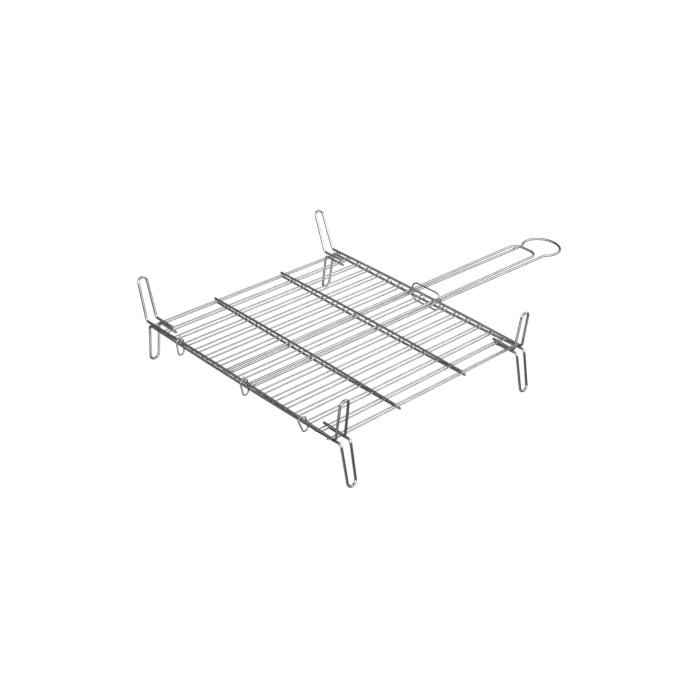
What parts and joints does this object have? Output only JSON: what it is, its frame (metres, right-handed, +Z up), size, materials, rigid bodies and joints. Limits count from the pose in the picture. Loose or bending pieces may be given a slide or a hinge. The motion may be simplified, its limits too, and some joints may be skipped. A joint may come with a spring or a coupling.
{
  "type": "grill basket",
  "caption": "Double-sided wire grill basket: two hinged square wire grids on bent wire legs, with long loop handles held together by a sliding locking ring.",
  "frame": {"origin": "on the ground, under the middle of the closed basket's bounding box", "axes": "+X along the hinge bars, +Y from the hinge towards the handles, +Z up"},
  "size_m": [0.4795, 0.7505, 0.1403],
  "materials": {
    "rod_wire": "bright zinc-plated drawn wire, satin",
    "frame_wire": "bright zinc-plated drawn wire, satin",
    "link_wire": "zinc-plated soft binding wire",
    "ring_wire": "zinc-plated drawn wire, satin"
  },
  "bodies": {
    "lower_grid": {"lower_handle_eye": "frame_wire", "lower_handle_frame": "frame_wire", "lower_handle_left_run": "frame_wire", "lower_handle_right_run": "frame_wire", "lower_hinge_frame": "frame_wire", "lower_middle_bar_front": "rod_wire", "lower_middle_bar_rear": "rod_wire", "lower_rod_01": "rod_wire", "lower_rod_02": "rod_wire", "lower_rod_03": "rod_wire", "lower_rod_04": "rod_wire", "lower_rod_05": "rod_wire", "lower_rod_06": "rod_wire", "lower_rod_07": "rod_wire", "lower_rod_08": "rod_wire", "lower_rod_09": "rod_wire", "lower_rod_10": "rod_wire", "lower_rod_11": "rod_wire", "lower_rod_12": "rod_wire", "lower_rod_13": "rod_wire", "lower_rod_14": "rod_wire", "lower_rod_15": "rod_wire"},
    "upper_grid": {"upper_handle": "frame_wire", "upper_handle_frame": "frame_wire", "upper_hinge_frame": "frame_wire", "upper_middle_bar_front": "rod_wire", "upper_middle_bar_rear": "rod_wire", "upper_rod_01": "rod_wire", "upper_rod_02": "rod_wire", "upper_rod_03": "rod_wire", "upper_rod_04": "rod_wire", "upper_rod_05": "rod_wire", "upper_rod_06": "rod_wire", "upper_rod_07": "rod_wire", "upper_rod_08": "rod_wire", "upper_rod_09": "rod_wire", "upper_rod_10": "rod_wire", "upper_rod_11": "rod_wire", "upper_rod_12": "rod_wire", "upper_rod_13": "rod_wire", "upper_rod_14": "rod_wire", "upper_rod_15": "rod_wire"},
    "hinge_link_left": {"hinge_link_left": "link_wire"},
    "hinge_link_middle": {"hinge_link_middle": "link_wire"},
    "hinge_link_right": {"hinge_link_right": "link_wire"},
    "locking_ring": {"locking_ring": "ring_wire"}
  },
  "joints": [
    {"name": "upper_fold", "type": "hinge", "parent": "lower_grid", "child": "upper_grid", "pos_m": [0.0067, -0.37165, 0.0692], "axis": [1, 0, 0], "range_deg": [0, 179.7]},
    {"name": "hinge_link_left_turn", "type": "hinge", "parent": "upper_grid", "child": "hinge_link_left", "pos_m": [-0.1288, -0.3663, 0.07355], "axis": [1, 0, 0], "range_deg": [-100.5, 0]},
    {"name": "hinge_link_middle_turn", "type": "hinge", "parent": "upper_grid", "child": "hinge_link_middle", "pos_m": [0.0212, -0.36779, 0.07438], "axis": [1, 0, 0], "range_deg": [-105.4, 0]},
    {"name": "hinge_link_right_turn", "type": "hinge", "parent": "upper_grid", "child": "hinge_link_right", "pos_m": [0.1462, -0.36903, 0.07336], "axis": [1, 0, 0], "range_deg": [-117.2, 0]},
    {"name": "locking_ring_slide", "type": "slide", "parent": "lower_grid", "child": "locking_ring", "axis": [0.0192, 0.9998, 0], "range_m": [-0.003, 0.2705]}
  ],
  "couplings": [
    {"joint": "hinge_link_left_turn", "follows": "upper_fold", "ratio": -0.559},
    {"joint": "hinge_link_middle_turn", "follows": "upper_fold", "ratio": -0.586},
    {"joint": "hinge_link_right_turn", "follows": "upper_fold", "ratio": -0.652}
  ]
}
